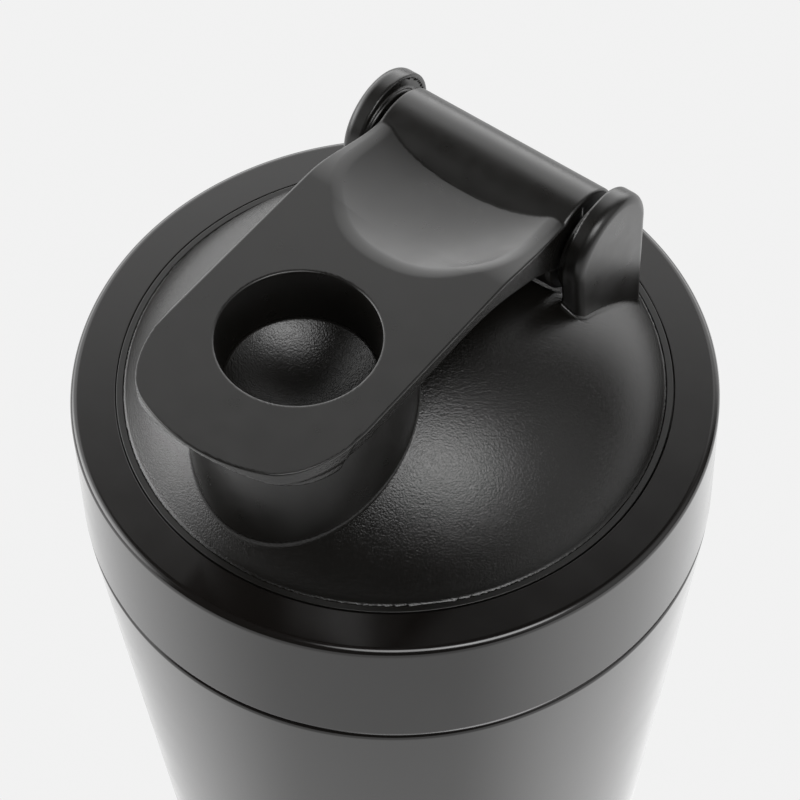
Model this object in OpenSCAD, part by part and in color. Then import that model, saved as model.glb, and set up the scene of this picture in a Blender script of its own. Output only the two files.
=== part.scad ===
// Double-walled protein shaker bottle with a screw lid and a flip cap over the spout.
// The origin is at the middle of the foot, +Z is up, and the spout is on the -Y side.

/* [Cup] */
// Outer diameter of the cup's shoulder and of the lid band
lid_d = 95; // [90:0.5:100]
// Height of the seam between the cup and the lid
seam_z = 166; // [150:1:180]
// Lean of the outer wall from vertical, in degrees
taper = 5.5; // [4.5:0.1:6.0]
// Thickness of the outer steel shell
shell_t = 0.8; // [0.6:0.1:1.0]
// Thickness of the inner steel liner
liner_t = 0.6; // [0.5:0.1:0.8]
// Insulating gap between the two steel walls
wall_gap = 2.6; // [2.0:0.1:3.0]
// Thickness of the silicone foot
foot_t = 2.8; // [2.4:0.1:3.2]

/* [Screw neck] */
// Outer diameter of the threaded neck
neck_d = 83; // [82:0.1:83.4]
// Height that the lid rises in one turn
thread_lead = 8; // [7:0.5:9]
// Number of thread starts
thread_starts = 2; // [1:1:2]
// Turn covered by each ridge, in degrees
thread_sweep = 300; // [180:10:320]
// Height of a ridge above the wall that it stands on
thread_h = 1.35; // [1.0:0.05:1.4]

/* [Lid] */
// Height of the steel band around the lid
band_h = 21.6; // [20:0.2:24]
// Thickness of the band's steel
band_t = 0.9; // [0.7:0.1:1.0]
// Inner diameter of the band's flat top
band_hole_d = 81.6; // [81:0.1:82]
// Height of the dome above the band
dome_rise = 22; // [21:0.2:22.6]
// Outer radius of the dome's sphere
dome_r = 46.5; // [46:0.1:47]
// Wall of the dome
dome_wall = 2.5; // [2:0.1:2.8]

/* [Spout] */
// Distance of the spout from the lid's axis
spout_off = 20.7; // [20:0.1:21.2]
// Outer diameter of the spout
spout_d = 32.4; // [31.6:0.1:32.6]
// Bore of the spout
spout_bore_d = 27.7; // [27.4:0.1:28]

/* [Flip cap] */
// Width of the cap
cap_w = 34.5; // [34:0.1:34.8]
// Distance of the cap's front from the lid's axis
cap_front = 43.5; // [42.5:0.1:44.5]
// Height of the cap's flat top above the band
cap_rise = 31.4; // [31.2:0.1:32]
// Thickness of the cap's plate
plate_t = 2.4; // [2.2:0.1:2.5]
// Diameter of the finger well in the cap
well_d = 23; // [22:0.1:23.6]
// Depth of the finger well at its wall
well_depth = 9.6; // [9:0.1:11]
// Radius of the well's dished floor
well_dish_r = 17.5; // [16:0.5:30]
// Radius of the thumb scoop's sphere
scoop_r = 50; // [48:0.5:52]

/* [Hinge] */
// Distance of the hinge axis behind the lid's axis
hinge_back = 22.8; // [22.4:0.1:23.2]
// Height of the hinge axis above the band
hinge_up = 21.9; // [21.6:0.1:22.2]
// Diameter of the cap's hinge barrel
barrel_d = 16; // [15.6:0.1:16.2]
// Radius of the rounded top of each ear
ear_r = 8.4; // [8.2:0.1:8.6]
// Thickness of each ear
ear_t = 3.3; // [3:0.1:3.6]
// Diameter of the stub axles on the ears
axle_d = 6; // [5:0.1:6.4]

/* [Whisk ball] */
// Outer diameter of the wire ball
ball_d = 50; // [46:1:51]
// Diameter of the wire
wire_d = 2; // [1.6:0.1:2.4]
// Turns of wire from the bottom to the top of the ball
ball_turns = 7; // [5:1:8]

/* [Hidden] */
$fn = 96;

// A small clearance between parts that sit together
fit_gap = 0.05;
// A cutter runs past the face that it opens by this much
over = 0.5;

// Cup
rim_r = lid_d / 2;
foot_r = rim_r - seam_z * tan(taper);
shoulder_z = seam_z - 0.35;
shoulder_round = 1;
sole_z = 0.6;
sole_round = 2.2;
sole_lip = 1;
disc_r = foot_r - sole_round - sole_lip - fit_gap;
neck_r = neck_d / 2;
mouth_wall = 2.9;
mouth_r = neck_r - mouth_wall;
mouth_flange_t = 1;
thread_up = 4.6;
liner_inset = shell_t + wall_gap + liner_t;
liner_floor_z = 9;
liner_floor_round = 9;
plate_z = foot_t + fit_gap;
plate_disc_t = 1;

// Lid, measured down from the top of its band
rim_z = seam_z + band_h;
band_low_z = seam_z + 0.2;
band_round = 0.9;
band_hole_round = 0.2;
band_low_round = 0.4;
band_hole_r = band_hole_d / 2;
skirt_r = rim_r - band_t - fit_gap;
thread_gap = 0.45;
skirt_bore_r = neck_r + thread_h + thread_gap;
skirt_low_z = band_low_z + 0.1;
web_top_z = rim_z - band_t - fit_gap;
web_t = 2.25;
gasket_t = 2.3;
gasket_top_z = web_top_z - web_t - fit_gap;
neck_top_z = gasket_top_z - gasket_t - 2 * fit_gap;
bead_r = band_hole_r - 0.12;
bead_w = 0.95;
bead_rise = 0.15;
ledge_drop = 0.35;
lip_gap = 1.7;
lip_r = mouth_r - lip_gap;
lip_t = 1.2;
lip_drop = 4;
dome_z = rim_z + dome_rise - dome_r;

// Spout and cap
spout_r = spout_d / 2;
bore_r = spout_bore_d / 2;
cap_top_z = rim_z + cap_rise;
cap_under_z = cap_top_z - plate_t;
spout_top_z = cap_under_z - 0.5;
mouth_chamfer = 1.35;
plug_top_r = bore_r - 0.55;
plug_low_r = plug_top_r - 0.7;
well_r = well_d / 2;
well_floor_z = cap_top_z - well_depth;
well_draft = 0.5;
well_low_r = well_r - well_draft;
well_dish_z = well_floor_z + sqrt(well_dish_r * well_dish_r - well_low_r * well_low_r);
plug_floor_t = 1.6;
plug_low_z = well_dish_z - well_dish_r - plug_floor_t;
seal_wire_r = 0.65;
seal_r = bore_r - 0.15;
seal_z = spout_top_z - 0.5;
nose_drop = 2;
nose_gap = 0.4;

// Hinge
hinge_z = rim_z + hinge_up;
barrel_r = barrel_d / 2;
barrel_len = cap_w - 1.5;
ear_gap = cap_w + 1.6;
ear_round = 1.4;
ear_edge = 0.3;
ear_back = 1.2;
ear_up = 0.1;
axle_len = 5;
boss_r = 7.1;
boss_len = 0.75;
saddle_gap = 0.5;
saddle_wall = 1.5;

// Whisk ball
ball_r = ball_d / 2;
coil_r = ball_r - wire_d / 2;
ball_z = liner_floor_z + ball_r + 0.4;
ball_pole = 12;

function lean(z) = foot_r + z * tan(taper);

// Points of an arc about c, from angle a to angle b
function arc(c, r, a, b, n = 8) =
    [for (i = [0:n]) c + r * [cos(a + (b - a) * i / n), sin(a + (b - a) * i / n)]];

// Rises from 0 to 1 with level ends
function ease(s) = s <= 0 ? 0 : s >= 1 ? 1 : s * s * (3 - 2 * s);

function unit(v) = v / norm(v);

// A closed tube through rings of points, all with the same number of sides
module skin(rings) {
    rows = len(rings);
    sides = len(rings[0]);
    points = [for (ring = rings) each ring];
    walls = [for (i = [0:rows - 2], j = [0:sides - 1])
        let (k = (j + 1) % sides)
        each [
            [i * sides + j, i * sides + k, (i + 1) * sides + j],
            [i * sides + k, (i + 1) * sides + k, (i + 1) * sides + j]
        ]];
    first = [for (j = [sides - 1:-1:0]) j];
    last = [for (j = [0:sides - 1]) (rows - 1) * sides + j];
    polyhedron(points, concat([first], walls, [last]));
}

// A right-hand screw ridge that stands on a wall of radius wall_r.
// side is 1 for a ridge on the outside of a neck and -1 for one inside a skirt.
module screw_ridge(wall_r, side, z0, start) {
    steps = 48;
    root = 0.3;
    foot_half = 0.95;
    crest_half = 0.45;
    fade = 4;
    rings = [for (i = [0:steps])
        let (
            turn = thread_sweep * i / steps,
            a = start + turn,
            z = z0 + thread_lead * turn / 360,
            grow = min(1, (i + 0.2) / fade, (steps - i + 0.2) / fade),
            rise = thread_h * grow,
            half = crest_half * grow,
            profile = [
                [wall_r - side * root, -foot_half],
                [wall_r + side * rise, -half],
                [wall_r + side * rise, half],
                [wall_r - side * root, foot_half]
            ],
            order = side > 0 ? [0, 1, 2, 3] : [3, 2, 1, 0]
        )
        [for (k = order) [profile[k][0] * cos(a), profile[k][0] * sin(a), z + profile[k][1]]]
    ];
    skin(rings);
}

module screw_ridges(wall_r, side, z0) {
    for (s = [0:thread_starts - 1]) screw_ridge(wall_r, side, z0, 360 * s / thread_starts);
}

// The lever's own frame: +X runs from the hinge towards the spout
module along_lever() {
    rotate([0, 0, -90]) children();
}

// A cylinder on the hinge axis, centred on the lid's middle plane
module hinge_rod(r, length) {
    along_lever()
    translate([-hinge_back, 0, hinge_z])
    rotate([90, 0, 0])
    cylinder(r = r, h = length, center = true);
}

// Outer steel wall with its rolled foot, shoulder and threaded neck
module outer_shell() {
    foot_in = foot_r - sole_round;
    top = shoulder_z - shoulder_round;
    neck_fillet = 1;
    color([0.16, 0.16, 0.17]) {
        rotate_extrude($fn = 180) polygon(concat(
            [[foot_in - sole_lip, sole_z], [foot_in, sole_z]],
            arc([foot_in, sole_z + sole_round], sole_round, -90, -taper),
            arc([lean(top) - shoulder_round, top], shoulder_round, -taper, 90),
            arc([neck_r + neck_fillet, shoulder_z + neck_fillet], neck_fillet, 270, 180, 5),
            [[neck_r, neck_top_z], [neck_r - shell_t, neck_top_z]],
            [[neck_r - shell_t, shoulder_z - shell_t]],
            [[lean(top) - 2 * shoulder_round, shoulder_z - shell_t]],
            [[lean(top) - shell_t, top - shell_t]],
            [[lean(sole_z + sole_round) - shell_t, sole_z + sole_round]],
            [[foot_in - sole_lip, sole_z + shell_t]]
        ));
        screw_ridges(neck_r, 1, shoulder_z + thread_up);
    }
}

// Inner steel wall, welded to the outer one at the mouth
module inner_liner() {
    knee_z = shoulder_z - 9;
    knee_rise = shoulder_z + 1 - knee_z;
    knee_r = lean(knee_z) - liner_inset;
    floor_r = lean(liner_floor_z) - liner_inset - liner_floor_round * cos(2 * taper);
    flange_r = neck_r - shell_t - fit_gap;
    low_z = liner_floor_z + liner_floor_round;
    low_r = lean(low_z) - liner_inset;
    color([0.75, 0.75, 0.76])
    rotate_extrude($fn = 180) polygon(concat(
        [[0, liner_floor_z], [floor_r, liner_floor_z]],
        [for (a = [15:15:75]) [
            floor_r + (low_r - floor_r) * sin(a), low_z - liner_floor_round * cos(a)]],
        [[low_r, low_z], [knee_r, knee_z]],
        [for (s = [0.2:0.2:1]) [
            knee_r + (mouth_r - knee_r) * ease(s), knee_z + knee_rise * s]],
        [[mouth_r, neck_top_z]],
        [[flange_r, neck_top_z]],
        [[flange_r, neck_top_z - mouth_flange_t]],
        [[mouth_r + liner_t, neck_top_z - mouth_flange_t]],
        [for (s = [1:-0.2:0]) [
            knee_r + liner_t + (mouth_r - knee_r) * ease(s), knee_z + knee_rise * s]],
        [[low_r + liner_t, low_z]],
        [for (a = [75:-15:15]) [
            floor_r + (low_r + liner_t - floor_r) * sin(a),
            low_z - (liner_floor_round + liner_t) * cos(a)]],
        [[floor_r, liner_floor_z - liner_t], [0, liner_floor_z - liner_t]]
    ));
}

// Steel disc that closes the outer wall above the foot, pressed up in the middle
module base_plate() {
    dish = 1.2;
    dish_in = disc_r * 0.5;
    dish_out = disc_r * 0.62;
    low = plate_z;
    high = plate_z + plate_disc_t;
    color([0.16, 0.16, 0.17])
    rotate_extrude($fn = 180) polygon([
        [0, low + dish], [dish_in, low + dish], [dish_out, low], [disc_r, low],
        [disc_r, high], [dish_out, high], [dish_in, high + dish], [0, high + dish]
    ]);
}

// Silicone foot that the bottle stands on
module foot_pad() {
    edge_round = 0.5;
    color([0.08, 0.08, 0.09])
    rotate_extrude($fn = 180) polygon(concat(
        [[0, 0]],
        arc([disc_r - edge_round, edge_round], edge_round, -90, 0, 4),
        [[disc_r, foot_t], [0, foot_t]]
    ));
}

// One steel wire coiled into a ball
module whisk_ball() {
    steps = ball_turns * 26;
    sides = 8;
    function coil(s) =
        let (p = ball_pole + (180 - 2 * ball_pole) * s, a = 360 * ball_turns * s)
        [sin(p) * cos(a), sin(p) * sin(a), -cos(p)];
    color([0.8, 0.8, 0.81])
    translate([0, 0, ball_z])
    skin([for (i = [0:steps])
        let (
            s = i / steps,
            out = coil(s),
            along = unit(coil(s + 0.0005) - coil(s - 0.0005)),
            side = cross(out, along)
        )
        [for (j = [0:sides - 1])
            let (b = -360 * j / sides)
            coil_r * out + wire_d / 2 * (cos(b) * out + sin(b) * side)]
    ]);
}

// Silicone ring between the lid and the rim of the neck
module lid_gasket() {
    inner = lip_r + lip_t + 2 * fit_gap;
    outer = skirt_bore_r - 0.6;
    edge_round = 0.6;
    color([0.12, 0.12, 0.13])
    rotate_extrude($fn = 180) polygon(concat(
        arc([inner + edge_round, gasket_top_z - gasket_t + edge_round], edge_round, 180, 270, 4),
        arc([outer - edge_round, gasket_top_z - gasket_t + edge_round], edge_round, 270, 360, 4),
        [[outer, gasket_top_z], [inner, gasket_top_z]]
    ));
}

// Rounded plate that carries one end of the hinge; it stands on the dome
module ear(side) {
    foot_z = rim_z - web_t;
    foot_lean = 1.7;
    front = ear_r - foot_lean - ear_round;
    back = -ear_r + ear_round;
    side_y = ear_t - ear_round;
    along_lever()
    translate([-hinge_back - ear_back, side * ear_gap / 2, 0])
    mirror([0, side > 0 ? 0 : 1, 0])
    hull() {
        translate([0, 0, hinge_z + ear_up])
        rotate([-90, 0, 0])
        rotate_extrude($fn = 48) polygon(concat(
            [[0, 0], [ear_r - ear_edge, 0], [ear_r, ear_edge]],
            arc([ear_r - ear_round, side_y], ear_round, 0, 90, 5),
            [[0, ear_t]]
        ));
        translate([0, 0, foot_z]) linear_extrude(1) polygon(concat(
            [[back - ear_round, 0], [front + ear_round, 0]],
            arc([front, side_y], ear_round, 0, 90, 6),
            arc([back, side_y], ear_round, 90, 180, 6)
        ));
    }
}

// Lid moulding: screw skirt, web, dome, spout and the two hinge ears
module lid_body() {
    color([0.13, 0.13, 0.135]) {
        lid_screw_skirt();
        difference() {
            union() {
                dome_and_spout();
                for (side = [-1, 1]) trimmed_ear(side);
                saddle();
            }
            hinge_rod(barrel_r + saddle_gap, ear_gap);
            translate([0, -spout_off, rim_z - band_h]) cylinder(r = bore_r, h = band_h + cap_rise);
            translate([0, -spout_off, spout_top_z - mouth_chamfer])
            cylinder(r1 = bore_r, r2 = bore_r + mouth_chamfer + over, h = mouth_chamfer + over);
        }
        for (side = [-1, 1]) hinge_stub(side);
    }
}

// Skirt with the inside thread, the web under the band and the gasket's retaining lip
module lid_screw_skirt() {
    rotate_extrude($fn = 180) polygon([
        [skirt_bore_r, skirt_low_z], [skirt_r, skirt_low_z], [skirt_r, web_top_z],
        [bead_r, web_top_z], [bead_r, rim_z], [bead_r - bead_w / 2, rim_z + bead_rise],
        [bead_r - bead_w, rim_z], [bead_r - bead_w, rim_z - ledge_drop],
        [lip_r + lip_t / 2, rim_z - ledge_drop], [lip_r, rim_z - dome_wall],
        [lip_r, gasket_top_z - lip_drop],
        [lip_r + lip_t, gasket_top_z - lip_drop], [lip_r + lip_t, gasket_top_z + fit_gap],
        [skirt_bore_r, gasket_top_z + fit_gap]
    ]);
    screw_ridges(skirt_bore_r, -1, shoulder_z + thread_up + thread_lead / thread_starts / 2);
}

// Hollow cap of a sphere, and the spout standing on it
module dome_and_spout() {
    difference() {
        union() {
            intersection() {
                translate([0, 0, dome_z]) sphere(r = dome_r, $fn = 180);
                translate([0, 0, rim_z - 1]) cylinder(r = bead_r - bead_w, h = band_h);
            }
            translate([0, -spout_off, rim_z]) cylinder(r = spout_r, h = spout_top_z - rim_z);
        }
        translate([0, 0, dome_z]) sphere(r = dome_r - dome_wall, $fn = 180);
    }
}

// An ear cut off where it meets the inside of the dome
module trimmed_ear(side) {
    difference() {
        ear(side);
        translate([0, 0, dome_z]) sphere(r = dome_r - dome_wall / 2, $fn = 180);
        translate([0, 0, rim_z - band_h - web_t]) cylinder(r = rim_r, h = band_h + web_t);
    }
}

// Extra wall inside the dome under the hollow that clears the barrel
module saddle() {
    intersection() {
        hinge_rod(barrel_r + saddle_gap + saddle_wall, ear_gap + 2 * saddle_wall);
        translate([0, 0, dome_z]) sphere(r = dome_r, $fn = 180);
        translate([0, 0, rim_z]) cylinder(r = bead_r - bead_w, h = band_h);
    }
}

// Stub axle on the inner face of an ear, with the boss that spaces the barrel
module hinge_stub(side) {
    root = 1;
    along_lever()
    translate([-hinge_back, side * (ear_gap / 2 + root), hinge_z])
    rotate([90 * side, 0, 0]) {
        cylinder(d = axle_d, h = axle_len + root);
        cylinder(r = boss_r, h = boss_len + root);
    }
}

// Steel band pressed over the lid's skirt, with its flat top ring
module lid_band() {
    color([0.16, 0.16, 0.17])
    rotate_extrude($fn = 180) polygon(concat(
        [[rim_r - band_t, band_low_z]],
        [[rim_r - band_low_round, band_low_z], [rim_r, band_low_z + band_low_round]],
        arc([rim_r - band_round, rim_z - band_round], band_round, 0, 90, 6),
        arc([band_hole_r + band_hole_round, rim_z - band_hole_round], band_hole_round, 90, 180, 4),
        [[band_hole_r, rim_z - band_t], [rim_r - band_t, rim_z - band_t]]
    ));
}

// Outline of the cap seen from above; it narrows to the barrel's length at the back
module cap_outline() {
    nose_r = 26;
    corner_r = 6.5;
    side_y = cap_w / 2 - corner_r;
    nose_x = cap_front - nose_r;
    corner_x = nose_x + sqrt(pow(nose_r - corner_r, 2) - side_y * side_y);
    meet = atan2(side_y, corner_x - nose_x);
    narrow_x = -20;
    wide_x = -5;
    narrowing = (cap_w - barrel_len) / 2;
    function waist(s) = [narrow_x + (wide_x - narrow_x) * s, cap_w / 2 - narrowing * (1 - ease(s))];
    polygon(concat(
        [[-hinge_back, -barrel_len / 2]],
        [for (s = [0:0.125:1]) [waist(s).x, -waist(s).y]],
        arc([corner_x, -side_y], corner_r, -90, -meet, 6),
        arc([nose_x, 0], nose_r, -meet, meet, 12),
        arc([corner_x, side_y], corner_r, meet, 90, 6),
        [for (s = [1:-0.125:0]) waist(s)],
        [[-hinge_back, barrel_len / 2]]
    ));
}

// Side view of the cap: flat nose, a slope down to the barrel and an arched underside
module cap_profile() {
    flat_end = -3;
    low_end = -19;
    low_z = hinge_z + barrel_r - 0.9;
    belly_r = 35.5;
    belly_x = 6;
    belly_end = -14;
    polygon(concat(
        [[-hinge_back, low_z]],
        [for (s = [0:0.1:1]) [
            low_end + (flat_end - low_end) * s, low_z + (cap_top_z - low_z) * ease(s)]],
        [[cap_front, cap_top_z], [cap_front, cap_under_z]],
        [for (x = [belly_x:-2:belly_end]) [
            x, cap_under_z - belly_r + sqrt(belly_r * belly_r - pow(belly_x - x, 2))]],
        [[-hinge_back, hinge_z - 1]]
    ));
}

// Plate of the cap, with the thumb scoop in its top and the lip under its nose
module cap_plate() {
    scoop_x = -19;
    scoop_low_z = rim_z + 27.2;
    along_lever()
    difference() {
        union() {
            intersection() {
                translate([0, 0, rim_z]) linear_extrude(cap_rise + 1) cap_outline();
                rotate([90, 0, 0]) linear_extrude(cap_w, center = true) cap_profile();
            }
            nose_lip();
        }
        translate([scoop_x, 0, scoop_low_z + scoop_r]) sphere(r = scoop_r, $fn = 180);
        finger_notch();
    }
}

// Everything in front of the spout, and a little clear of it
module around_spout(low_z, height) {
    lip_back = spout_off + 11;
    difference() {
        translate([lip_back, -cap_w / 2, low_z]) cube([cap_front - lip_back, cap_w, height]);
        translate([spout_off, 0, low_z - over]) cylinder(r = spout_r + nose_gap, h = height + 2 * over);
    }
}

// Lip under the front corners of the plate
module nose_lip() {
    intersection() {
        translate([0, 0, cap_under_z - nose_drop]) linear_extrude(nose_drop + over) cap_outline();
        around_spout(cap_under_z - nose_drop - over, nose_drop + 3 * over);
    }
}

// Hollow under the nose for a fingertip, with an arched roof
module finger_notch() {
    notch_r = 42;
    nose_thin = 0.95;
    intersection() {
        around_spout(cap_under_z - nose_drop - over, nose_drop + plate_t);
        translate([0, 0, cap_top_z - nose_thin - notch_r])
        rotate([0, 90, 0])
        cylinder(r = notch_r, h = cap_front + over, $fn = 240);
    }
}

// Hollow of the plug, open at the top, with a dished floor
module finger_well() {
    translate([0, -spout_off, 0]) {
        translate([0, 0, well_floor_z]) cylinder(r1 = well_low_r, r2 = well_r, h = well_depth + over);
        intersection() {
            translate([0, 0, well_dish_z]) sphere(r = well_dish_r, $fn = 180);
            translate([0, 0, plug_low_z]) cylinder(r = well_low_r, h = well_floor_z + over - plug_low_z);
        }
    }
}

// Flip cap: plate, hinge barrel and the hollow plug of the spout
module flip_cap() {
    color([0.15, 0.15, 0.155])
    difference() {
        union() {
            cap_plate();
            hinge_rod(barrel_r, barrel_len);
            translate([0, -spout_off, plug_low_z])
            cylinder(r1 = plug_low_r, r2 = plug_top_r, h = cap_under_z - plug_low_z + over);
        }
        finger_well();
        translate([0, -spout_off, seal_z]) rotate_extrude() translate([seal_r, 0])
        circle(r = seal_wire_r + fit_gap, $fn = 24);
        hinge_rod(axle_d / 2 + fit_gap, cap_w + 2);
    }
}

// O-ring around the top of the plug
module spout_seal() {
    color([0.1, 0.1, 0.11])
    translate([0, -spout_off, seal_z]) rotate_extrude() translate([seal_r, 0])
    circle(r = seal_wire_r, $fn = 24);
}

outer_shell();
inner_liner();
base_plate();
foot_pad();
whisk_ball();
lid_gasket();
lid_body();
lid_band();
flip_cap();
spout_seal();
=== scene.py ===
"""Looks of the shaker bottle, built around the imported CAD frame.

Shapes are worked out in millimetres. The lid's shapes use the lever's own axes: t runs forwards from the
hinge to the spout, n runs to the right and z is the height above the lid's rim.
"""

import math

import bpy
import numpy as np
from mathutils import Matrix, Vector


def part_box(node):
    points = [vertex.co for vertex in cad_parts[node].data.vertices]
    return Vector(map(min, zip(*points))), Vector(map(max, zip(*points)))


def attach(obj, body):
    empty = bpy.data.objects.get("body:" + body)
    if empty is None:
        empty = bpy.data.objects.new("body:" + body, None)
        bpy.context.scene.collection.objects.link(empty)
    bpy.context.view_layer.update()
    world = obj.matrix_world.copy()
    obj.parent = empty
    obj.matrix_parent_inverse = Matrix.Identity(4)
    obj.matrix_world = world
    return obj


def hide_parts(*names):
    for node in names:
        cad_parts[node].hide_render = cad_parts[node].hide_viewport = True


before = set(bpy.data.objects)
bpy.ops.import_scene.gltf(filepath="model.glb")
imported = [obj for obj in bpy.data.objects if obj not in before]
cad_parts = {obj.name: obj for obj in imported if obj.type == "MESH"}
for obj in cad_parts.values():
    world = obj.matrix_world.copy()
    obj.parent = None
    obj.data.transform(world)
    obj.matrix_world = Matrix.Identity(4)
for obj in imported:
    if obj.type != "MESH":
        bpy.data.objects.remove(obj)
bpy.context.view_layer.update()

# ---------------------------------------------------------------- sizes, in millimetres

MM = 0.001


def low(node):
    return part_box(node)[0] / MM


def high(node):
    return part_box(node)[1] / MM


RIM_Z = high("lid_band").z
SEAM_LOW_Z = low("lid_band").z
NECK_TOP_Z = high("outer_shell").z
RIM_R = 47.5
SEAM_GAP = 0.55
SHOULDER_Z = SEAM_LOW_Z - SEAM_GAP
SHOULDER_ROUND = 0.95
SOLE_Z = low("outer_shell").z
TAPER = math.radians(5.5)
FOOT_R = RIM_R - (SEAM_LOW_Z - 0.2) * math.tan(TAPER)
SOLE_ROUND = 2.2
SHELL_T = 0.8
LINER_T = 0.6
LINER_INSET = 4.0
NECK_R = 41.5
MOUTH_R = 38.6
THREAD_LEAD = 8.0
THREAD_SWEEP = 300.0
THREAD_H = 1.35
THREAD_UP = 4.6

BAND_T = 0.9
BAND_HOLE_R = 40.8
BAND_ROUND = 1.15
BAND_LOW_ROUND = 0.5
BAND_HOLE_ROUND = 0.2
BEAD_R = 40.68
BEAD_W = 0.95
BEAD_RISE = 0.13
FIT_GAP = 0.05
SKIRT_R = RIM_R - BAND_T - FIT_GAP
SKIRT_BORE_R = 43.3
LIP_R = 36.9
LIP_T = 1.2

DOME_R = 46.5
DOME_RISE = 22.0
DOME_WALL = 2.5
SPOUT_T = 20.7
SPOUT_R = 16.2
SPOUT_TOP = 28.5
BORE_R = 13.85
MOUTH_CHAMFER = 1.35
SEAL_R = BORE_R - 0.15
SEAL_Z = SPOUT_TOP - 0.5

HINGE_T = -22.8
HINGE_Z = 21.9
BARREL_R = 8.0
BARREL_HALF = 16.5
EAR_R = 8.4
EAR_IN = 18.05
EAR_T = 3.3
EAR_ROUND = 1.4
EAR_LEAN = math.radians(3.9)
EAR_MID_T = HINGE_T - 1.2
EAR_MID_Z = HINGE_Z + 0.1
AXLE_R = 3.0
BOSS_R = 7.1
BOSS_T = 0.75

CAP_HALF = 17.25
CAP_TOP = high("flip_cap").z - RIM_Z
PLATE_T = 2.4
UNDER_PLATE = CAP_TOP - PLATE_T
WELL_R = 11.5
WELL_DRAFT = 0.5
WELL_DEPTH = 9.6
WELL_DISH_R = 17.5
WELL_FLOOR = CAP_TOP - WELL_DEPTH
WELL_DISH_Z = WELL_FLOOR + math.sqrt(WELL_DISH_R ** 2 - (WELL_R - WELL_DRAFT) ** 2)
PLUG_FLOOR_T = 1.6
PLUG_LOW = WELL_DISH_Z - WELL_DISH_R - PLUG_FLOOR_T
NOSE_LOW = 27.0
NOSE_BACK = 31.7

BALL_R = 25.0
WIRE_R = 1.0
BALL_TURNS = 7

# ---------------------------------------------------------------- meshes


def new_object(name, verts_mm, faces, material):
    mesh = bpy.data.meshes.new(name)
    mesh.from_pydata((np.asarray(verts_mm, float) * MM).tolist(), [], faces)
    mesh.materials.append(material)
    mesh.shade_smooth()
    obj = bpy.data.objects.new(name, mesh)
    bpy.context.scene.collection.objects.link(obj)
    return obj


def rounded(corners, steps=8):
    """A closed outline from (r, z, fillet) corners, run with the solid on the left.

    Returns its points and, for the segment that starts at each point, the normals at its two ends.
    """
    pts = np.array([c[:2] for c in corners], float)
    points, normals = [], []
    count = len(pts)

    def outward(a, b):
        d = (b - a) / np.linalg.norm(b - a)
        return np.array([d[1], -d[0]])

    for i in range(count):
        before, here, after = pts[i - 1], pts[i], pts[(i + 1) % count]
        n_in, n_out = outward(before, here), outward(here, after)
        radius = corners[i][2]
        turn = math.atan2(n_in[0] * n_out[1] - n_in[1] * n_out[0], float(n_in @ n_out))
        if radius <= 0 or abs(turn) < 1e-4:
            points.append(here)
            normals.append((n_out, n_out))
            continue
        side = math.copysign(1, turn)
        reach = radius * math.tan(abs(turn) / 2)
        start = here + (before - here) / np.linalg.norm(before - here) * reach
        centre = start - side * radius * n_in
        ring = []
        for k in range(steps + 1):
            a = turn * k / steps
            n = np.array([n_in[0] * math.cos(a) - n_in[1] * math.sin(a),
                          n_in[0] * math.sin(a) + n_in[1] * math.cos(a)])
            ring.append((centre + side * radius * n, n))
        for (p, n), (_, n_next) in zip(ring, ring[1:]):
            points.append(p)
            normals.append((n, n_next))
        points.append(ring[-1][0])
        normals.append((n_out, n_out))
    return np.array(points), normals


def lathe(name, corners, material, segments=256, steps=8):
    """Turns a closed outline round the bottle's axis, with exact normals."""
    outline, ends = rounded(corners, steps)
    angles = np.linspace(0, 2 * math.pi, segments, endpoint=False)
    verts, first = [], []
    for r, z in outline:
        first.append(len(verts))
        if r < 1e-6:
            verts.append((0, 0, z))
        else:
            verts.extend((r * math.cos(a), r * math.sin(a), z) for a in angles)
    faces, loop_normals = [], []

    def turned(n, s):
        a = angles[s % segments]
        return (n[0] * math.cos(a), n[0] * math.sin(a), n[1])

    for i in range(len(outline)):
        j = (i + 1) % len(outline)
        pole_i, pole_j = outline[i][0] < 1e-6, outline[j][0] < 1e-6
        if pole_i and pole_j:
            continue
        n_i, n_j = ends[i]
        for s in range(segments):
            k = (s + 1) % segments
            corner = []
            if pole_i:
                corner.append((first[i], n_i, s))
            else:
                corner += [(first[i] + s, n_i, s), (first[i] + k, n_i, k)]
            if pole_j:
                corner.append((first[j], n_j, s))
            else:
                corner += [(first[j] + k, n_j, k), (first[j] + s, n_j, s)]
            faces.append([c[0] for c in corner])
            loop_normals += [turned(c[1], c[2]) for c in corner]
    obj = new_object(name, verts, faces, material)
    obj.data.normals_split_custom_set(loop_normals)
    return obj


def swept(name, rings, material, sharp_deg=40):
    """A closed tube through rings of points."""
    sides = len(rings[0])
    verts = [p for ring in rings for p in ring]
    faces = [[j for j in range(sides - 1, -1, -1)]]
    for i in range(len(rings) - 1):
        for j in range(sides):
            k = (j + 1) % sides
            faces.append([i * sides + j, i * sides + k, (i + 1) * sides + k, (i + 1) * sides + j])
    faces.append([(len(rings) - 1) * sides + j for j in range(sides)])
    obj = new_object(name, verts, faces, material)
    obj.data.set_sharp_from_angle(angle=math.radians(sharp_deg))
    return obj


def joined(name, objs):
    """One object from several, keeping their own normals and materials."""
    bpy.ops.object.select_all(action="DESELECT")
    for o in objs:
        o.select_set(True)
    bpy.context.view_layer.objects.active = objs[0]
    bpy.ops.object.join()
    objs[0].name = name
    objs[0].data.name = name
    return objs[0]


# ---------------------------------------------------------------- rounded solids from distance functions


def meet(a, b, r):
    """The overlap of two solids, with its edge rounded to radius r."""
    return np.minimum(np.maximum(a, b), -r) + np.hypot(np.maximum(a + r, 0), np.maximum(b + r, 0))


def fuse(a, b, r):
    """The union of two solids, with a fillet of radius r."""
    return np.maximum(np.minimum(a, b), r) - np.hypot(np.maximum(r - a, 0), np.maximum(r - b, 0))


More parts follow.
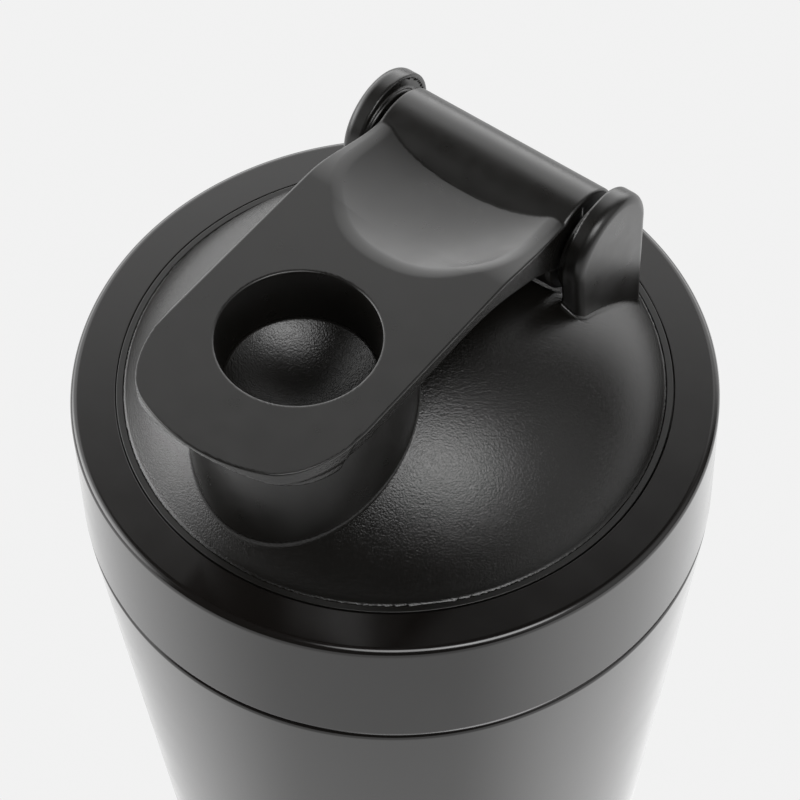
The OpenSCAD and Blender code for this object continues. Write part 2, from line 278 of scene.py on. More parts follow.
def cut(a, b, r):
    """Solid a without solid b, with its edge rounded to radius r."""
    return meet(a, -b, r)


def slope_of(f, p, h=0.02):
    """The distance function's gradient at points p."""
    g = np.empty_like(p)
    for axis in range(3):
        d = np.zeros(3)
        d[axis] = h
        g[:, axis] = (f(*(p + d).T) - f(*(p - d).T)) / (2 * h)
    return g


def skinned(f, lo, hi, step):
    """The surface f = 0 in a box, as points, quads and normals.

    There is one point in each cell that the surface crosses.
    """
    axes = [np.arange(a, b + step, step) for a, b in zip(lo, hi)]
    inside = f(*np.meshgrid(*axes, indexing="ij")) < 0
    near = np.zeros([n - 1 for n in inside.shape], np.uint8)
    for i in (0, 1):
        for j in (0, 1):
            for k in (0, 1):
                near += inside[i:i + near.shape[0], j:j + near.shape[1], k:k + near.shape[2]]
    crossed = (near > 0) & (near < 8)
    index = np.full(near.shape, -1, np.int64)
    index[crossed] = np.arange(crossed.sum())
    where = np.argwhere(crossed)
    points = np.array(lo) + (where + 0.5) * step
    for _ in range(5):
        g = slope_of(f, points)
        move = f(*points.T)[:, None] * g / np.maximum((g * g).sum(1), 0.25)[:, None]
        points = points - np.clip(move, -step, step)
    quads = []
    for axis in range(3):
        u, v = (axis + 1) % 3, (axis + 2) % 3
        shifted = np.moveaxis(inside, axis, 0)
        change = shifted[:-1] != shifted[1:]
        change = np.moveaxis(change, 0, axis)
        cells = np.argwhere(change)
        cells = cells[(cells[:, u] > 0) & (cells[:, v] > 0)
                      & (cells[:, u] < near.shape[u]) & (cells[:, v] < near.shape[v])]
        back_u, back_v = np.zeros(3, int), np.zeros(3, int)
        back_u[u] = 1
        back_v[v] = 1
        ring = [cells - back_u - back_v, cells - back_v, cells, cells - back_u]
        quad = np.stack([index[tuple(c.T)] for c in ring], 1)
        inward = inside[tuple(cells.T)]
        quad[~inward] = quad[~inward][:, ::-1]
        quads.append(quad)
    normals = slope_of(f, points)
    normals /= np.linalg.norm(normals, axis=1)[:, None]
    return points, np.concatenate(quads), normals


def to_row(p):
    """Points in the lever's axes, in the row frame's axes."""
    return np.stack([p[:, 1], -p[:, 0], p[:, 2]], 1)


def moulded(name, f, lo, hi, step, material):
    """A moulding from its distance function, in the lever's axes."""
    points, quads, normals = skinned(f, lo, hi, step)
    obj = new_object(name, to_row(points) + (0, 0, RIM_Z), quads.tolist(), material)
    obj.data.normals_split_custom_set_from_vertices(to_row(normals).tolist())
    return obj, points, normals


# ---------------------------------------------------------------- materials

RAMP_SOCKETS = ("From Min", "From Max", "To Min", "To Max")


def surface(name, base, roughness, metallic=0.0, **settings):
    mat = bpy.data.materials.new(name)
    mat.use_nodes = True
    shader = mat.node_tree.nodes["Principled BSDF"]
    shader.inputs["Base Color"].default_value = (*base, 1)
    shader.inputs["Roughness"].default_value = roughness
    shader.inputs["Metallic"].default_value = metallic
    for socket, value in settings.items():
        shader.inputs[socket.replace("_", " ")].default_value = value
    return mat, shader


def node(mat, kind, **settings):
    n = mat.node_tree.nodes.new(kind)
    for key, value in settings.items():
        if key in n.inputs:
            n.inputs[key].default_value = value
        else:
            setattr(n, key, value)
    return n


def place_of(mat, stretch=(1, 1, 1)):
    """Points on the piece itself, which move with it."""
    coords = node(mat, "ShaderNodeTexCoord")
    mapping = node(mat, "ShaderNodeMapping")
    mapping.inputs["Scale"].default_value = stretch
    mat.node_tree.links.new(coords.outputs["Object"], mapping.inputs["Vector"])
    return mapping.outputs["Vector"]


def noise(mat, place, scale, detail=2.0, rough=0.5):
    n = node(mat, "ShaderNodeTexNoise", Scale=scale, Detail=detail, Roughness=rough)
    mat.node_tree.links.new(place, n.inputs["Vector"])
    return n.outputs["Fac"]


def spread(mat, value, low_end, high_end, start=0.3, end=0.7):
    """Maps a noise value to a range."""
    n = node(mat, "ShaderNodeMapRange")
    for socket, number in zip(RAMP_SOCKETS, (start, end, low_end, high_end)):
        n.inputs[socket].default_value = number
    mat.node_tree.links.new(value, n.inputs["Value"])
    return n.outputs["Result"]


def tint(mat, value, dark, light):
    """Mixes two colours by a noise value."""
    n = node(mat, "ShaderNodeMix", data_type="RGBA")
    colour_a = [s for s in n.inputs if s.name == "A" and s.type == "RGBA"][0]
    colour_b = [s for s in n.inputs if s.name == "B" and s.type == "RGBA"][0]
    colour_a.default_value = (*dark, 1)
    colour_b.default_value = (*light, 1)
    mat.node_tree.links.new(value, n.inputs["Factor"])
    return [s for s in n.outputs if s.type == "RGBA"][0]


def bump(mat, height, strength, distance):
    n = node(mat, "ShaderNodeBump", Strength=strength, Distance=distance)
    mat.node_tree.links.new(height, n.inputs["Height"])
    return n.outputs["Normal"]


def link(mat, output, shader, socket):
    mat.node_tree.links.new(output, shader.inputs[socket])


def coated_steel():
    """Smooth black coating with a soft gloss and a trace of orange peel."""
    mat, shader = surface("coated_steel", (0.005, 0.005, 0.006), 0.15, IOR=1.58)
    place = place_of(mat)
    cloudy = spread(mat, noise(mat, place, 60, 3), 0, 1)
    colour = tint(mat, cloudy, (0.0048, 0.004, 0.0034), (0.0062, 0.0053, 0.0048))
    link(mat, colour, shader, "Base Color")
    link(mat, spread(mat, noise(mat, place, 160, 3), 0.11, 0.15), shader, "Roughness")
    link(mat, bump(mat, noise(mat, place, 700, 1), 0.02, 0.00005), shader, "Normal")
    return mat


def black_plastic(name):
    """Black moulded plastic: satin, with the fine pitted grain of an eroded mould where grain is 1."""
    mat, shader = surface(name, (0.005, 0.005, 0.005), 0.3, IOR=1.52)
    place = place_of(mat)
    cloudy = spread(mat, noise(mat, place, 90, 3), 0, 1)
    colour = tint(mat, cloudy, (0.0045, 0.0041, 0.0034), (0.0062, 0.0057, 0.005))
    link(mat, colour, shader, "Base Color")
    where = node(mat, "ShaderNodeAttribute", attribute_name="grain").outputs["Fac"]
    fine = noise(mat, place, 3800, 2, 0.6)
    grain_strength = 0.62
    depth = node(mat, "ShaderNodeMath", operation="MULTIPLY")
    link(mat, where, depth, 0)
    depth.inputs[1].default_value = grain_strength
    grain = node(mat, "ShaderNodeBump", Distance=0.0001)
    link(mat, fine, grain, "Height")
    link(mat, depth.outputs[0], grain, "Strength")
    rough = node(mat, "ShaderNodeMix", data_type="FLOAT")
    link(mat, where, rough, "Factor")
    link(mat, spread(mat, noise(mat, place, 300, 3), 0.27, 0.33), rough, "A")
    link(mat, spread(mat, fine, 0.17, 0.23), rough, "B")
    link(mat, rough.outputs["Result"], shader, "Roughness")
    link(mat, grain.outputs["Normal"], shader, "Normal")
    return mat


def bare_steel():
    """Stainless steel with brushing that runs round the bottle."""
    mat, shader = surface("bare_steel", (0.62, 0.61, 0.59), 0.3, metallic=1.0)
    rings = noise(mat, place_of(mat, (40, 40, 4000)), 1.0, 4, 0.6)
    cloudy = spread(mat, noise(mat, place_of(mat), 40, 3), 0, 1)
    colour = tint(mat, cloudy, (0.55, 0.54, 0.52), (0.66, 0.65, 0.63))
    link(mat, colour, shader, "Base Color")
    link(mat, spread(mat, rings, 0.24, 0.4), shader, "Roughness")
    link(mat, bump(mat, rings, 0.12, 0.00005), shader, "Normal")
    return mat


def wire_steel():
    """Drawn and polished stainless wire."""
    mat, shader = surface("wire_steel", (0.68, 0.67, 0.65), 0.18, metallic=1.0)
    place = place_of(mat)
    link(mat, spread(mat, noise(mat, place, 500, 3), 0.12, 0.24), shader, "Roughness")
    link(mat, bump(mat, noise(mat, place, 2500, 2), 0.06, 0.00005), shader, "Normal")
    return mat


def silicone(name, base):
    """Matt moulded silicone with a dusty sheen."""
    mat, shader = surface(name, base, 0.62, IOR=1.42)
    place = place_of(mat)
    fine = noise(mat, place, 2400, 3)
    light = tuple(c * 1.5 for c in base)
    cloudy = spread(mat, noise(mat, place, 120, 3), 0, 1)
    link(mat, tint(mat, cloudy, base, light), shader, "Base Color")
    link(mat, spread(mat, fine, 0.56, 0.7), shader, "Roughness")
    link(mat, bump(mat, fine, 0.2, 0.00006), shader, "Normal")
    return mat


# ---------------------------------------------------------------- cup


def lean(z):
    """Outer radius of the leaning wall at height z."""
    return FOOT_R + z * math.tan(TAPER)


def ridge(name, wall_r, side, z0, start, material):
    """One right-hand screw ridge, outside a neck (side 1) or inside a skirt (side -1)."""
    steps, sides, fade = 150, 10, 12
    half_w, root = 0.95, 0.25
    rings = []
    for i in range(steps + 1):
        turn = THREAD_SWEEP * i / steps
        a = math.radians(start + turn)
        z = z0 + THREAD_LEAD * turn / 360
        grow = min(1, (i + 0.2) / fade, (steps - i + 0.2) / fade)
        grow = grow * grow * (3 - 2 * grow)
        ring = []
        for j in range(sides + 1):
            b = math.pi * (j / sides - 0.5)
            up = math.sin(b)
            out = max(math.cos(b), 0) ** 0.6
            r = wall_r + side * (THREAD_H * grow * out - root * (1 - out))
            ring.append((r * math.cos(a), r * math.sin(a), z + half_w * up))
        rings.append(ring if side > 0 else ring[::-1])
    return swept(name, rings, material)


def ridges(name, wall_r, side, z0, material):
    return [ridge(f"{name}_{s}", wall_r, side, z0, 180 * s, material) for s in (0, 1)]


def make_outer_shell(material):
    foot_in = FOOT_R - SOLE_ROUND
    wall_in = lean(SHOULDER_Z - 1.4) - SHELL_T
    thread_z = SHOULDER_Z + THREAD_UP
    shell = lathe("shell_wall", [
        (foot_in - 1, SOLE_Z, 0.15),
        (lean(SOLE_Z), SOLE_Z, SOLE_ROUND),
        (lean(SHOULDER_Z), SHOULDER_Z, SHOULDER_ROUND),
        (NECK_R, SHOULDER_Z, 1.0),
        (NECK_R, NECK_TOP_Z, 0.35),
        (NECK_R - SHELL_T, NECK_TOP_Z, 0),
        (NECK_R - SHELL_T, SHOULDER_Z - SHELL_T, 0.3),
        (wall_in, SHOULDER_Z - SHELL_T, 0.6),
        (lean(SOLE_Z + SOLE_ROUND) - SHELL_T, SOLE_Z + SHELL_T, 1.4),
        (foot_in - 1, SOLE_Z + SHELL_T, 0),
    ], material, segments=320, steps=10)
    return joined("outer_shell_body", [shell] + ridges("neck_ridge", NECK_R, 1, thread_z, material))


def make_inner_liner(material):
    floor_z = low("inner_liner").z + LINER_T
    bend = 9.0
    knee_z = SHOULDER_Z - 9
    neck_z = SHOULDER_Z + 1
    flange_r = NECK_R - SHELL_T - FIT_GAP

    def inner(z):
        return lean(z) - LINER_INSET

    return lathe("inner_liner_cup", [
        (0, floor_z - LINER_T, 0),
        (inner(floor_z) + LINER_T, floor_z - LINER_T, bend + LINER_T),
        (inner(knee_z) + LINER_T, knee_z, 5),
        (MOUTH_R + LINER_T, neck_z, 5),
        (MOUTH_R + LINER_T, NECK_TOP_Z - 1, 0.6),
        (flange_r, NECK_TOP_Z - 1, 0.1),
        (flange_r, NECK_TOP_Z, 0.3),
        (MOUTH_R, NECK_TOP_Z, 0.7),
        (MOUTH_R, neck_z, 5),
        (inner(knee_z), knee_z, 5),
        (inner(floor_z), floor_z, bend),
        (0, floor_z, 0),
    ], material, segments=256, steps=12)


def make_base_plate(material):
    bottom, top = low("base_plate").z, high("base_plate").z
    edge = high("base_plate").x
    step = 1.0
    dish_in, dish_out = edge * 0.5, edge * 0.62
    return lathe("base_disc", [
        (0, top - step, 0), (dish_in, top - step, 1), (dish_out, bottom, 1), (edge, bottom, 0.1),
        (edge, bottom + step, 0.1), (dish_out, bottom + step, 1), (dish_in, top, 1), (0, top, 0),
    ], material, segments=192)


def make_foot_pad(material):
    top, edge = high("foot_pad").z, high("foot_pad").x
    groove, corners = 0.4, [(0, 0, 0)]
    for r in (9, 17):
        corners += [(r, 0, 0.2), (r + 0.3, groove, 0.2), (r + 1.5, groove, 0.2), (r + 1.8, 0, 0.2)]
    corners += [(edge, 0, 0.5), (edge, top, 0), (0, top, 0)]
    return lathe("foot_pad_disc", corners, material, segments=192)


def make_whisk_ball(material):
    """One wire coiled round a ball, with rounded ends."""
    pole, sides, per_turn = math.radians(12), 14, 56
    steps = BALL_TURNS * per_turn
    centre = (low("whisk_ball").z + high("whisk_ball").z) / 2
    coil_r = BALL_R - WIRE_R

    def coil(s):
        p = pole + (math.pi - 2 * pole) * s
        a = 2 * math.pi * BALL_TURNS * s
        return Vector((math.sin(p) * math.cos(a), math.sin(p) * math.sin(a), -math.cos(p)))

    def ring(s, radius, push=0.0):
        out = coil(s)
        along = (coil(s + 1e-4) - coil(s - 1e-4)).normalized()
        side = out.cross(along)
        middle = out * coil_r + along * push + Vector((0, 0, centre))
        return [middle + radius * (math.cos(b) * out + math.sin(b) * side)
                for b in (-2 * math.pi * j / sides for j in range(sides))]

    rounds = [math.radians(a) for a in (80, 55, 28)]
    rings = [ring(0, WIRE_R * math.cos(a), -WIRE_R * math.sin(a)) for a in rounds]
    rings += [ring(i / steps, WIRE_R) for i in range(steps + 1)]
    rings += [ring(1, WIRE_R * math.cos(a), WIRE_R * math.sin(a)) for a in reversed(rounds)]
    return swept("whisk_wire", [[tuple(p) for p in r] for r in rings], material)


# ---------------------------------------------------------------- lid


def make_gasket(material):
    a, b = low("lid_gasket").z, high("lid_gasket").z
    outer = high("lid_gasket").x
    inner = LIP_R + LIP_T + 0.1
    return lathe("gasket_ring", [
        (inner, a, 0.7), (outer, a, 0.7), (outer, b, 0.2), (inner, b, 0.2),
    ], material, segments=192)


def make_band(material):
    return lathe("band_ring", [
        (RIM_R - BAND_T, SEAM_LOW_Z, 0.2),
        (RIM_R, SEAM_LOW_Z, BAND_LOW_ROUND),
        (RIM_R, RIM_Z, BAND_ROUND),
        (BAND_HOLE_R, RIM_Z, BAND_HOLE_ROUND),
        (BAND_HOLE_R, RIM_Z - BAND_T, 0),
        (RIM_R - BAND_T, RIM_Z - BAND_T, 0.3),
    ], material, segments=360, steps=12)


def make_screw_skirt(material):
    """Skirt with the inside thread, the web, the bead in the band's hole and the gasket's lip."""
    gasket_top = high("lid_gasket").z
    web_top = RIM_Z - BAND_T - FIT_GAP
    web_under = gasket_top + FIT_GAP
    skirt_low = SEAM_LOW_Z + 0.1
    bead_top, bead_in = RIM_Z + BEAD_RISE, BEAD_R - BEAD_W
    ledge_z, ledge_in = RIM_Z - 0.35, DOME_R - 7.6
    lip_low = gasket_top - 4
    skirt = lathe("skirt_wall", [
        (SKIRT_BORE_R, skirt_low, 0.3), (SKIRT_R, skirt_low, 0.3), (SKIRT_R, web_top, 0.3),
        (BEAD_R, web_top, 0), (BEAD_R, bead_top, 0.1), (bead_in, bead_top, 0.1),
        (bead_in - 0.1, ledge_z, 0.1), (ledge_in, ledge_z, 0),
        (LIP_R, RIM_Z - 2, 0.2), (LIP_R, lip_low, 0.3), (LIP_R + LIP_T, lip_low, 0.3),
        (LIP_R + LIP_T, web_under, 0.2), (SKIRT_BORE_R, web_under, 0.3),
    ], material, segments=320)
    ridge_z = SHOULDER_Z + THREAD_UP + THREAD_LEAD / 4
    return joined("lid_skirt", [skirt] + ridges("skirt_ridge", SKIRT_BORE_R, -1, ridge_z, material))


def hinge_distance(t, z):
    """Distance from the hinge's axis."""
    return np.hypot(t - HINGE_T, z - HINGE_Z)


def spout_distance(t, n):
    """Distance from the spout's axis."""
    return np.hypot(t - SPOUT_T, n)


def dome_distance(t, n, z):
    """Distance from the centre of the dome's sphere."""
    return np.sqrt(t * t + n * n + (z - DOME_RISE + DOME_R) ** 2)


def hinge_ear(t, side, z):
    """Rounded plate on the dome; side is the distance from the lever's middle plane."""
    front = math.cos(EAR_LEAN) * (t - EAR_MID_T) - math.sin(EAR_LEAN) * (z - EAR_MID_Z) - EAR_R
    back = EAR_MID_T - EAR_R - t
    crown = np.hypot(t - EAR_MID_T, z - EAR_MID_Z) - EAR_R
    profile = np.where(z > EAR_MID_Z, crown, np.maximum(front, back))
    return meet(meet(profile, side - (EAR_IN + EAR_T), EAR_ROUND), EAR_IN - side, 0.35)


def lid_dome(t, n, z):
    """Domed shell with the spout, the hinge ears and their stub axles."""
    side = np.abs(n)
    rho = dome_distance(t, n, z)
    spout = spout_distance(t, n)
    hinge = hinge_distance(t, z)

    ledge = z + 0.02
    inside_bead = np.hypot(t, n) - (BEAD_R - BEAD_W)
    solid = np.maximum(fuse(rho - DOME_R, ledge, 0.4), inside_bead)
    solid = fuse(solid, meet(spout - SPOUT_R, z - SPOUT_TOP, 0.5), 0.35)
    solid = fuse(solid, hinge_ear(t, side, z), 0.45)

    saddle_wall, saddle_gap, root, axle_len, dome_low = 2, 0.5, 1, 5, -2.0
    hump = np.maximum(hinge - (BARREL_R + saddle_wall), side - (EAR_IN + saddle_wall))
    hollow = cut(rho - (DOME_R - DOME_WALL), hump, 0.8)
    solid = cut(solid, hollow, 0.3)

    mouth = spout - BORE_R - np.maximum(z - (SPOUT_TOP - MOUTH_CHAMFER), 0)
    solid = cut(solid, mouth, 0.25)
    solid = cut(solid, np.maximum(hinge - (BARREL_R + saddle_gap), side - EAR_IN), 0.25)

    boss = meet(hinge - BOSS_R, np.maximum(EAR_IN - BOSS_T - side, side - EAR_IN - root), 0.45)
    axle = meet(hinge - AXLE_R, np.maximum(EAR_IN - axle_len - side, side - EAR_IN - root), 0.3)
    solid = np.minimum(fuse(solid, boss, 0.35), axle)
    return np.maximum(solid, dome_low - z)


def eased(value, start, end):
    """Rises from 0 to 1 between start and end, with level ends."""
    s = np.clip((value - start) / (end - start), 0, 1)
    return s * s * (3 - 2 * s)


def cap_top_height(t, n):
    """The cap's top is flat from the nose back, then dips to the hinge barrel, more so at its sides."""
    flat_end, low_end = 3, 19
    mid_dip, side_dip = 0.95, 0.0063
    return CAP_TOP - eased(-t, flat_end, low_end) * (mid_dip + side_dip * n * n)


def scoop_height(t, n):
    """Thumb scoop: rises forwards and to the sides, and opens backwards to the hinge barrel."""
    low_z, low_t = 27.0, -18.5
    rise, bank, bank_power = 0.0097, 0.0074, 2.3
    widening, widens_behind = 0.016, 2
    across = np.abs(n) / (1 + widening * np.maximum(-t - widens_behind, 0))
    return low_z + rise * (t - low_t) ** 2 + bank * across ** bank_power


def above(height, t, n, z):
    """Distance above a surface that is given by its height over t and n."""
    h = 0.05
    tilt = (height(t + h, n) - height(t - h, n)) / (2 * h)
    return (z - height(t, n)) / np.sqrt(1 + tilt * tilt)


def cap_outline(t, n):
    """Plan of the cap's plate: narrow at the barrel, wide at the spout, with a round nose."""
    nose_r, corner_r = 26.0, 6.5
    narrow_t, wide_t = -20, -5
    nose_t = nose_reach() - nose_r
    half = BARREL_HALF + (CAP_HALF - BARREL_HALF) * eased(t, narrow_t, wide_t)
    nose = np.hypot(np.maximum(t - nose_t, 0), n) - nose_r
    return meet(np.abs(n) - half, nose, corner_r)


def cap_plate(t, n, z):
    """Plate with an arched underside, a lip under the nose with a finger notch, and the thumb scoop."""
    plan = cap_outline(t, n)
    belly_r, belly_t = 35.5, 6.0
    belly_z = UNDER_PLATE - belly_r
    arch = np.where(t > belly_t, belly_z + belly_r - z, belly_r - np.hypot(t - belly_t, z - belly_z))
    belly = np.maximum(arch, HINGE_Z - 1 - z)
    plate = meet(plan, belly, 0.6)

    spout_gap, lip_slope = 0.4, 0.6
    clear = SPOUT_R + spout_gap - spout_distance(t, n)
    nose = np.maximum(clear, 0.85 * (NOSE_BACK + lip_slope * (UNDER_PLATE - z) - t))
    lip = meet(meet(plan, NOSE_LOW - z, 1.1), nose, 0.4)
    plate = fuse(plate, lip, 0.5)
    notch_r, nose_thin = 42.0, 0.95
    notch_z = CAP_TOP - nose_thin - notch_r
    notch = np.maximum(np.hypot(n, z - notch_z) - notch_r, np.maximum(clear, NOSE_BACK - t))
    plate = cut(plate, notch, 0.35)

    plate = meet(plate, above(cap_top_height, t, n, z), 0.3)
    plate = np.maximum(plate, HINGE_T - t)
    return meet(plate, above(scoop_height, t, n, z), 0.5)


def nose_reach():
    """How far forwards the cap's nose reaches."""
    return -low("flip_cap").y


def flip_cap(t, n, z):
    """Cap with its hinge barrel, the plug of the spout and the finger well in it."""
    spout = spout_distance(t, n)
    hinge = hinge_distance(t, z)
    barrel = meet(hinge - BARREL_R, np.abs(n) - BARREL_HALF, 0.5)
    solid = fuse(cap_plate(t, n, z), barrel, 0.15)

    plug_low_r, plug_draft = BORE_R - 1.25, 0.7
    plug_r = plug_low_r + plug_draft * (z - PLUG_LOW) / (UNDER_PLATE - PLUG_LOW)
    plug = meet(spout - plug_r, np.maximum(PLUG_LOW - z, z - UNDER_PLATE - 0.5), 0.6)
    solid = fuse(solid, plug, 0.25)

    well_r = WELL_R - WELL_DRAFT + WELL_DRAFT * (z - WELL_FLOOR) / WELL_DEPTH
    dish = np.hypot(spout, np.minimum(z - WELL_DISH_Z, 0)) - WELL_DISH_R
    well = meet(spout - well_r, dish, 0.2)
    solid = cut(solid, well, 0.35)
    groove_r = 0.7
    groove = np.hypot(spout - SEAL_R, z - SEAL_Z) - groove_r
    solid = np.maximum(solid, -groove)
    return np.maximum(solid, AXLE_R + FIT_GAP - hinge)


def mark_grain(obj, where):
    """Marks the points that have the mould's grain, for the material."""
    grain = obj.data.attributes.new("grain", "FLOAT", "POINT")
    grain.data.foreach_set("value", where.astype(np.float32))


def make_dome(material):
    lo = (-BEAD_R, -BEAD_R, -2.6)
    hi = (BEAD_R, BEAD_R, EAR_MID_Z + EAR_R + 1)
    obj, points, _ = moulded("lid_dome", lid_dome, lo, hi, 0.3, material)
    mark_grain(obj, dome_distance(*points.T) < DOME_R + 0.3)
    return obj


def make_flip_cap(material):
    margin = 0.7
    lo = (HINGE_T - BARREL_R - margin, -CAP_HALF - margin, low("flip_cap").z - RIM_Z - margin)
    hi = (nose_reach() + margin, CAP_HALF + margin, CAP_TOP + margin)
    obj, points, normals = moulded("flip_cap_moulding", flip_cap, lo, hi, 0.25, material)
    t, n, z = points.T
    on_barrel = hinge_distance(t, z) < BARREL_R + 0.15
    in_well = spout_distance(t, n) < WELL_R + 0.2
    on_floor = in_well & (z < WELL_FLOOR + 0.3)
    sides = (normals[:, 2] < 0.3) & ~on_barrel & ~in_well
    mark_grain(obj, sides | on_floor)
    return obj


def make_spout_seal(material):
    """O-ring round the plug, made at the spout's axis."""
    z = (low("spout_seal").z + high("spout_seal").z) / 2
    wire = (high("spout_seal").z - low("spout_seal").z) / 2
    turns, sides = 160, 16
    verts, faces = [], []
    for i in range(turns):
        a = 2 * math.pi * i / turns
        for j in range(sides):
            b = 2 * math.pi * j / sides
            r = SEAL_R + wire * math.cos(b)
            verts.append((r * math.cos(a), r * math.sin(a) - SPOUT_T, z + wire * math.sin(b)))
            i2, j2 = (i + 1) % turns, (j + 1) % sides
            faces.append([i * sides + j, i2 * sides + j, i2 * sides + j2, i * sides + j2])
    return new_object("seal_ring", verts, faces, material)


# ---------------------------------------------------------------- stage, light and camera

VIEW_AZIMUTH = 38.4
VIEW_ELEVATION = 52.92
VIEW_ROLL = -1.54
VIEW_DISTANCE = 499.3
VIEW_LENS = 152.53
VIEW_TARGET = (0.565, 0.448, -4.83)
BACKDROP = 0.885


def heading(azimuth, elevation):
    """Unit vector to a place around the object; azimuth 0 is in front of it."""
    a, e = math.radians(azimuth), math.radians(elevation)
    return Vector((math.sin(a) * math.cos(e), -math.cos(a) * math.cos(e), math.sin(e)))


def make_camera():
    back = heading(VIEW_AZIMUTH, VIEW_ELEVATION)
    level = Vector((math.cos(math.radians(VIEW_AZIMUTH)), math.sin(math.radians(VIEW_AZIMUTH)), 0))
    up = back.cross(level)
    roll = math.radians(VIEW_ROLL)
    right = math.cos(roll) * level + math.sin(roll) * up
    top = back.cross(right)
    target = (Vector(VIEW_TARGET) + Vector((0, 0, RIM_Z))) * MM
    data = bpy.data.cameras.new("camera")
    data.lens = VIEW_LENS
    data.sensor_width = 36
    data.clip_start = 0.01
    camera = bpy.data.objects.new("camera", data)
    bpy.context.scene.collection.objects.link(camera)
    pose = Matrix((right, top, back)).transposed().to_4x4()
    pose.translation = target + back * VIEW_DISTANCE * MM
    camera.matrix_world = pose
    bpy.context.scene.camera = camera


class Studio:
    """Node helpers for the studio's light, with azimuths measured from the camera."""

    def __init__(self, tree, direction):
        self.tree = tree
        self.direction = direction

    def math(self, operation, *values):
        n = self.tree.nodes.new("ShaderNodeMath")
        n.operation = operation
        for socket, value in zip(n.inputs, values):
            if isinstance(value, (int, float)):
                socket.default_value = value
            else:
                self.tree.links.new(value, socket)
        return n.outputs[0]

    def ramp(self, value, start, end, low_end, high_end):
        n = self.tree.nodes.new("ShaderNodeMapRange")
        n.interpolation_type = "SMOOTHSTEP"
        self.tree.links.new(value, n.inputs["Value"])
        for socket, number in zip(RAMP_SOCKETS, (start, end, low_end, high_end)):
            n.inputs[socket].default_value = number
        return n.outputs["Result"]

    def towards(self, azimuth, elevation):
        """Cosine of the angle to a place in the studio."""
        n = self.tree.nodes.new("ShaderNodeVectorMath")
        n.operation = "DOT_PRODUCT"
        self.tree.links.new(self.direction, n.inputs[0])
        n.inputs[1].default_value = heading(VIEW_AZIMUTH + azimuth, elevation)
        return n.outputs["Value"]

    def panel(self, azimuth, elevation, radius, soft, strength):
        """A round light that fades out across its edge."""
        near = self.towards(azimuth, elevation)
        return self.ramp(near, cos(radius + soft), cos(radius - soft), 0, strength)

    def backdrop(self, light):
        """The even backdrop that the camera sees, and the light that falls on the bottle."""
        camera_ray = self.tree.nodes.new("ShaderNodeLightPath").outputs["Is Camera Ray"]
        seen = self.math("MULTIPLY", camera_ray, BACKDROP)
        lit = self.math("MULTIPLY", light, self.math("SUBTRACT", 1.0, camera_ray))
        return self.math("ADD", seen, lit)


def sin(degrees):
    return math.sin(math.radians(degrees))


def cos(degrees):
    return math.cos(math.radians(degrees))


def make_floor():
    """A plain pale table a hair under the foot, in metres, that glows: evenly where the camera sees it,
    and with painted light brighter at its sides than in front where the bottle reflects it.
    """
    half, z = 4.0, -0.0001
    mesh = bpy.data.meshes.new("floor")
    corners = [(-half, -half, z), (half, -half, z), (half, half, z), (-half, half, z)]
    mesh.from_pydata(corners, [], [(0, 1, 2, 3)])
    mat = bpy.data.materials.new("floor")
    mat.use_nodes = True
    tree = mat.node_tree
    tree.nodes.clear()
    direction = tree.nodes.new("ShaderNodeVectorMath")
    direction.operation = "NORMALIZE"
    tree.links.new(tree.nodes.new("ShaderNodeTexCoord").outputs["Object"], direction.inputs[0])
    studio = Studio(tree, direction.outputs["Vector"])
    # painted light: glow painted on the table, stronger at its sides than in front, stands in for light
    # falling there
    light = studio.math("ADD", studio.panel(90, 0, 45, 30, 0.55), 0.8)
    light = studio.math("ADD", light, studio.panel(-110, 0, 45, 30, 0.3))
    glow = tree.nodes.new("ShaderNodeEmission")
    tree.links.new(studio.backdrop(light), glow.inputs["Strength"])
    tree.links.new(glow.outputs[0], tree.nodes.new("ShaderNodeOutputMaterial").inputs["Surface"])
    mesh.materials.append(mat)
    floor = bpy.data.objects.new("floor", mesh)
    bpy.context.scene.collection.objects.link(floor)


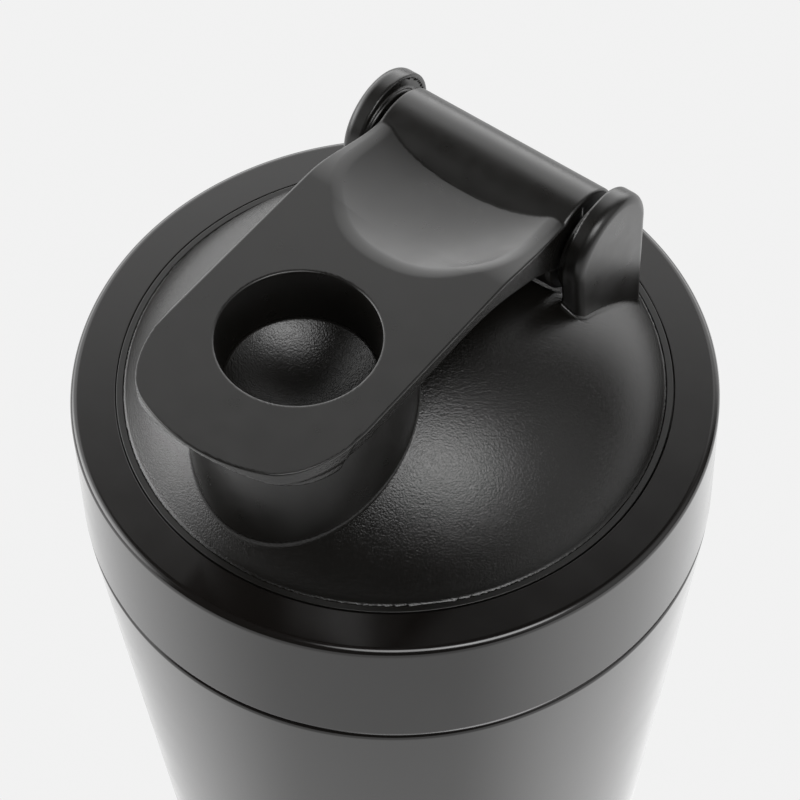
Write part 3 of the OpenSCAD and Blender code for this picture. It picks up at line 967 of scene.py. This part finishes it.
def make_sky():
    """Studio surroundings: a pale wall behind, dark overhead and behind the camera, and soft boxes."""
    world = bpy.data.worlds.new("studio")
    bpy.context.scene.world = world
    world.use_nodes = True
    tree = world.node_tree
    tree.nodes.clear()
    studio = Studio(tree, tree.nodes.new("ShaderNodeTexCoord").outputs["Generated"])
    height = studio.towards(0, 90)
    high_wall = studio.ramp(height, sin(58), sin(45), 0, 2.4)
    low_wall = studio.ramp(height, sin(32), sin(8), 0, 1.8)
    wall = studio.math("ADD", high_wall, low_wall)
    behind = studio.ramp(studio.towards(-160, 0), 0.0, 0.6, 0, 1)
    light = studio.math("ADD", studio.math("MULTIPLY", wall, behind), 0.06)
    soft_box = studio.panel(36, 52, 12, 6, 7.5)
    overhead = studio.panel(0, 63, 12, 6, 6.0)
    low_left = studio.panel(-100, 12, 20, 12, 3.6)
    low_right = studio.panel(68, 30, 24, 20, 0.8)
    for panel in (soft_box, overhead, low_left, low_right):
        light = studio.math("ADD", light, panel)
    background = tree.nodes.new("ShaderNodeBackground")
    tree.links.new(studio.backdrop(light), background.inputs["Strength"])
    tree.links.new(background.outputs[0], tree.nodes.new("ShaderNodeOutputWorld").inputs["Surface"])
    bpy.context.scene.view_settings.view_transform = "Standard"


# ---------------------------------------------------------------- put together


def assign(obj, body, slot, *nodes):
    """Ties a piece to its body and hides the CAD nodes that it stands for; the slot argument is not
    used.
    """
    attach(obj, body)
    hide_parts(*nodes)


def main():
    coated, bare, wire = coated_steel(), bare_steel(), wire_steel()
    lid_plastic, cap_plastic = black_plastic("lid_plastic"), black_plastic("cap_plastic")
    black_silicone = silicone("silicone", (0.03, 0.03, 0.032))

    assign(make_outer_shell(coated), "cup", "coated_steel", "outer_shell")
    assign(make_inner_liner(bare), "cup", "bare_steel", "inner_liner")
    assign(make_base_plate(coated), "cup", "coated_steel", "base_plate")
    assign(make_foot_pad(black_silicone), "cup", "silicone", "foot_pad")
    assign(make_whisk_ball(wire), "ball", "wire_steel", "whisk_ball")
    assign(make_gasket(black_silicone), "lid_seal", "silicone", "lid_gasket")
    assign(make_band(coated), "lid", "coated_steel", "lid_band")
    assign(make_screw_skirt(lid_plastic), "lid", "lid_plastic", "lid_body")
    assign(make_dome(lid_plastic), "lid", "lid_plastic", "lid_body")
    assign(make_flip_cap(cap_plastic), "cap", "cap_plastic", "flip_cap")
    assign(make_spout_seal(black_silicone), "cap", "silicone", "spout_seal")

    make_floor()
    make_sky()
    make_camera()


main()
